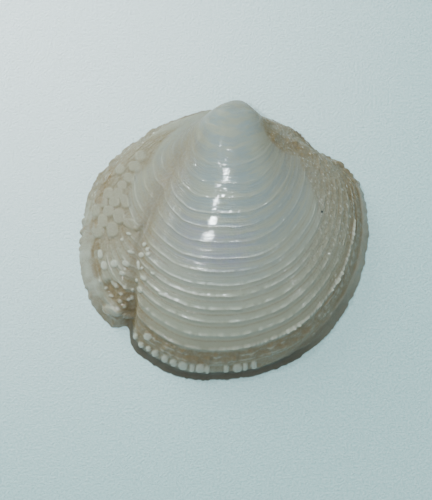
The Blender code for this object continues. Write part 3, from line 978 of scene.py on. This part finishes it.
class ShellPatterns:
    """The masks and noise that the shell's colour, gloss and bumps share."""

    def __init__(self, g):
        self.stage = g.read("stage")
        self.stain_and_shade = g.read("stain_and_shade")
        self.crest = g.read("crest")
        self.rough = g.read("rough")
        self.inside = g.read("inside")
        self.pale = g.read("pale")
        self.wall = g.read("wall")
        self.flange = g.read("flange")
        self.patch = g.noise(0.9, 3.0, 0.6)
        self.grain = g.noise(4.5, 3.0, 0.6)
        self.pearls = g.cells(1.0, g.growth(42.0, 34.0))
        self.growth = g.growth(150.0, 5.0)
        self.threads = g.noise(1.0, 3.0, 0.55, self.growth)
        tint = g.math("MULTIPLY_ADD", self.grain, 0.9, 0.55)
        self.browned_and_shaded = g.math("MULTIPLY", self.stain_and_shade, tint, clamp=True)


def shell_colour(g, p):
    """Pearly with olive bands and threads, stained brown with some painted shade, with pale crests and
    grains that are partly painted highlights and glints, and a lower face darkened by painted shade.
    """
    bands = g.noise(0.28, 2.0, 0.5, p.growth)
    body = g.colour(g.span(p.stage, 0.35, 0.88, 1.0, 0.0), OLIVE, PEARL)
    body = g.colour(g.math("MULTIPLY", g.read("lilac"), g.span(p.patch, 0.25, 0.60)), body, LILAC)
    body = g.colour(g.span(p.threads, 0.40, 0.75, 0.0, 0.55), body, OLIVE)
    body = g.colour(g.span(bands, 0.45, 0.62, 0.0, 0.60), body, OLIVE)
    body = g.colour(g.span(p.patch, 0.50, 0.66, 0.0, 0.40), body, OLIVE)
    body = g.colour(p.browned_and_shaded, body, BROWN)
    # Pale crests: partly their own paler colour, partly a painted highlight along them
    body = g.colour(g.math("MULTIPLY", p.crest, g.span(p.stage, 0.1, 0.8, 0.08, 0.30)), body, PALE)
    body = g.colour(g.math("MULTIPLY", p.pale, 0.55), body, PALE)
    # Pale tops of the grains on crusty areas: partly their own colour, partly painted glints
    grain_tops_and_glints = g.math("MULTIPLY", g.span(p.pearls, 0.12, 0.36, 1.0, 0.0), g.span(p.rough, 0.5, 0.9))
    body = g.colour(g.math("MULTIPLY", grain_tops_and_glints, g.span(p.grain, 0.42, 0.58, 0.1, 0.9)), body, PALE)
    body = g.colour(g.math("MULTIPLY", p.flange, g.span(p.stain_and_shade, 0.1, 0.5, 0.8, 0.4)), body, FLANGE)
    # The steep outer face of the lower margin painted near black-brown: brown stain and painted shade
    body = g.colour(p.wall, body, WALL_BROWN_AND_SHADE)
    body = g.colour(p.inside, body, INSIDE)
    speck = g.span(g.from_plan(*SPECK_PLACE), 0.09, 0.15, 1.0, 0.0)
    return g.colour(g.math("MULTIPLY", speck, g.math("SUBTRACT", 1.0, p.inside)), body, SPECK)


def wet_share(g, p):
    """Where the wet coat lies: less on wall and flange, and on the beak and the rear between the crests."""
    between = g.span(p.crest, 0.2, 0.6, 1.0, 0.2)
    between_rear = g.span(p.crest, 0.2, 0.6, 0.55, 0.0)
    dry = g.math("ADD", g.math("MULTIPLY", p.wall, 0.85), g.math("MULTIPLY", p.flange, 0.45))
    dry = g.math("ADD", dry, g.math("MULTIPLY", g.span(p.stage, 0.22, 0.38, 0.75, 0.0), between))
    dry = g.math("ADD", dry, g.math("MULTIPLY", g.read("rear"), between_rear), clamp=True)
    return g.math("SUBTRACT", 1.0, dry)


def shell_bumps(g, p):
    """Normals of the shell, with threads and crumbs, and of its wet coat, with more glints on the crests."""
    strength = g.math("MULTIPLY_ADD", p.rough, 0.8, 0.12)
    crumbs = g.math("MINIMUM", g.cells(3.0), p.pearls)
    lumpy = g.math("SUBTRACT", g.span(p.grain, 0.2, 0.8, 0.0, 0.5), crumbs)
    body = g.bump(p.threads, THREAD_BUMP, g.span(p.stage, 0.30, 0.50, 0.8, 0.3))
    body = g.bump(lumpy, CRUMB_BUMP, strength, body)

    coat = g.bump(p.threads, WET_THREAD_BUMP, 0.5)
    coat = g.bump(p.grain, WET_GRAIN_BUMP, 0.5, coat)
    dots = g.noise(1.0, 1.0, 0.5, g.growth(20.0, 110.0))
    coat = g.bump(dots, WET_CREST_BUMP, g.math("MULTIPLY", p.crest, g.span(p.stage, 0.20, 0.45)), coat)
    beaded = g.math("MAXIMUM", p.rough, g.math("MULTIPLY", p.crest, g.span(p.stage, 0.25, 0.60)))
    beaded = g.math("MAXIMUM", beaded, g.span(p.stain_and_shade, 0.20, 0.50, 0.0, 0.8))
    coat = g.bump(g.noise(7.0, 1.0), WET_DOT_BUMP, beaded, coat)
    coat = g.bump(lumpy, WET_CRUMB_BUMP, beaded, coat)
    return body, coat


def shell_material():
    """Glossy, slightly see-through shell: pearly in the middle, brown in grooves and at the margin."""
    g = Graph("shell")
    p = ShellPatterns(g)
    g.put("Base Color", shell_colour(g, p))
    dull = g.math("MULTIPLY", p.browned_and_shaded, 0.18)
    g.put("Roughness", g.math("ADD", dull, g.span(p.patch, 0.3, 0.7, 0.30, 0.45)))
    g.put("Specular IOR Level", 0.2)
    g.put("Subsurface Weight", 0.65)
    g.put("Subsurface Radius", (1.0, 0.85, 0.6))
    g.put("Subsurface Scale", 0.0012)
    g.put("Coat Weight", wet_share(g, p))
    g.put("Coat Roughness", 0.05)
    g.put("Coat IOR", 1.7)
    body, coat = shell_bumps(g, p)
    g.put("Normal", body)
    g.put("Coat Normal", coat)
    return g.material


def table_material():
    """Pale, finely grained table top, with a painted pool of light that fades away from one corner."""
    g = Graph("table")
    grain = g.noise(4.2, 3.0, 0.7)
    # Painted pool of light: the colour darkens with distance from one corner
    away = g.from_plan(*LIGHT_POOL_CORNER)
    body = g.colour(g.span(away, -8.0, 62.0), TABLE_POOL_LIT, TABLE_POOL_DIM)
    g.put("Base Color", g.colour(g.span(grain, 0.35, 0.65, 0.0, 0.22), body, TABLE_GRAIN))
    g.put("Roughness", 0.40)
    g.put("Normal", g.bump(grain, TABLE_BUMP))
    return g.material


def make_valve():
    valve = bpy.data.objects.new("clam_valve", valve_mesh())
    bpy.context.scene.collection.objects.link(valve)
    valve.data.materials.append(shell_material())
    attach(valve, "root")
    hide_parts("right_valve")


def make_table():
    bpy.ops.mesh.primitive_plane_add(size=2.0)
    table = bpy.context.object
    table.name = "table"
    table.data.materials.append(table_material())


# Ceiling lamps: direction from the shell, power in watts, and sides in metres
LAMP_DISTANCE = 0.50
LAMP_COLOUR = (0.86, 0.98, 1.0)
LAMPS = (
    ("lamp_middle", (-0.262, 0.070, 0.963), 1.28, (0.030, 0.080)),
    ("lamp_back", (-0.060, 0.320, 0.945), 0.85, (0.036, 0.018)),
    ("lamp_left", (-0.320, 0.560, 0.770), 1.00, (0.036, 0.018)),
    ("lamp_right", (0.600, -0.300, 0.742), 0.09, (0.014, 0.014)),
)
# A low soft light that gives the shell its shadow: place and sides in metres, and power
WINDOW_PLACE = (-0.10, 0.11, 0.07)
WINDOW_SIDES = (0.10, 0.10)
WINDOW_POWER = 0.28
WINDOW_COLOUR = (0.95, 1.0, 1.0)
# Even light from all around
ROOM_COLOUR = rgb(0.82, 0.95, 1.0)
ROOM_STRENGTH = 0.475


def add_lamp(name, place, energy, sides, colour):
    """A rectangular lamp that shines at the shell."""
    lamp = bpy.data.lights.new(name, "AREA")
    lamp.energy = energy
    lamp.color = colour
    lamp.shape = "RECTANGLE"
    lamp.size, lamp.size_y = sides
    light = bpy.data.objects.new(name, lamp)
    bpy.context.scene.collection.objects.link(light)
    light.location = place
    aim = -light.location
    light.rotation_euler = aim.to_track_quat("-Z", "Y").to_euler()
    return light


def light_scene():
    world = bpy.data.worlds.new("room")
    bpy.context.scene.world = world
    world.use_nodes = True
    room = world.node_tree.nodes["Background"]
    room.inputs["Color"].default_value = ROOM_COLOUR
    room.inputs["Strength"].default_value = ROOM_STRENGTH
    for name, direction, energy, sides in LAMPS:
        place = [LAMP_DISTANCE * share for share in direction]
        add_lamp(name, place, energy, sides, LAMP_COLOUR)
    low_light = add_lamp("window", WINDOW_PLACE, WINDOW_POWER, WINDOW_SIDES, WINDOW_COLOUR)
    low_light.visible_glossy = False


# The view's frame: its size in pixels, the millimetres a pixel spans, and its middle
FRAME_PIXELS = (432, 500)
PIXEL = 0.105
FRAME_MIDDLE = (-0.8475, -0.985)
CAMERA_HEIGHT = 0.5
SENSOR = 36.0


def make_camera():
    """Straight above, framed as the photograph."""
    lens = bpy.data.cameras.new("camera")
    camera = bpy.data.objects.new("camera", lens)
    bpy.context.scene.collection.objects.link(camera)
    camera.location = (FRAME_MIDDLE[0] * MM, FRAME_MIDDLE[1] * MM, CAMERA_HEIGHT)
    lens.sensor_width = SENSOR
    lens.lens = SENSOR * CAMERA_HEIGHT / (FRAME_PIXELS[1] * PIXEL * MM)
    bpy.context.scene.camera = camera


make_table()
make_valve()
light_scene()
make_camera()
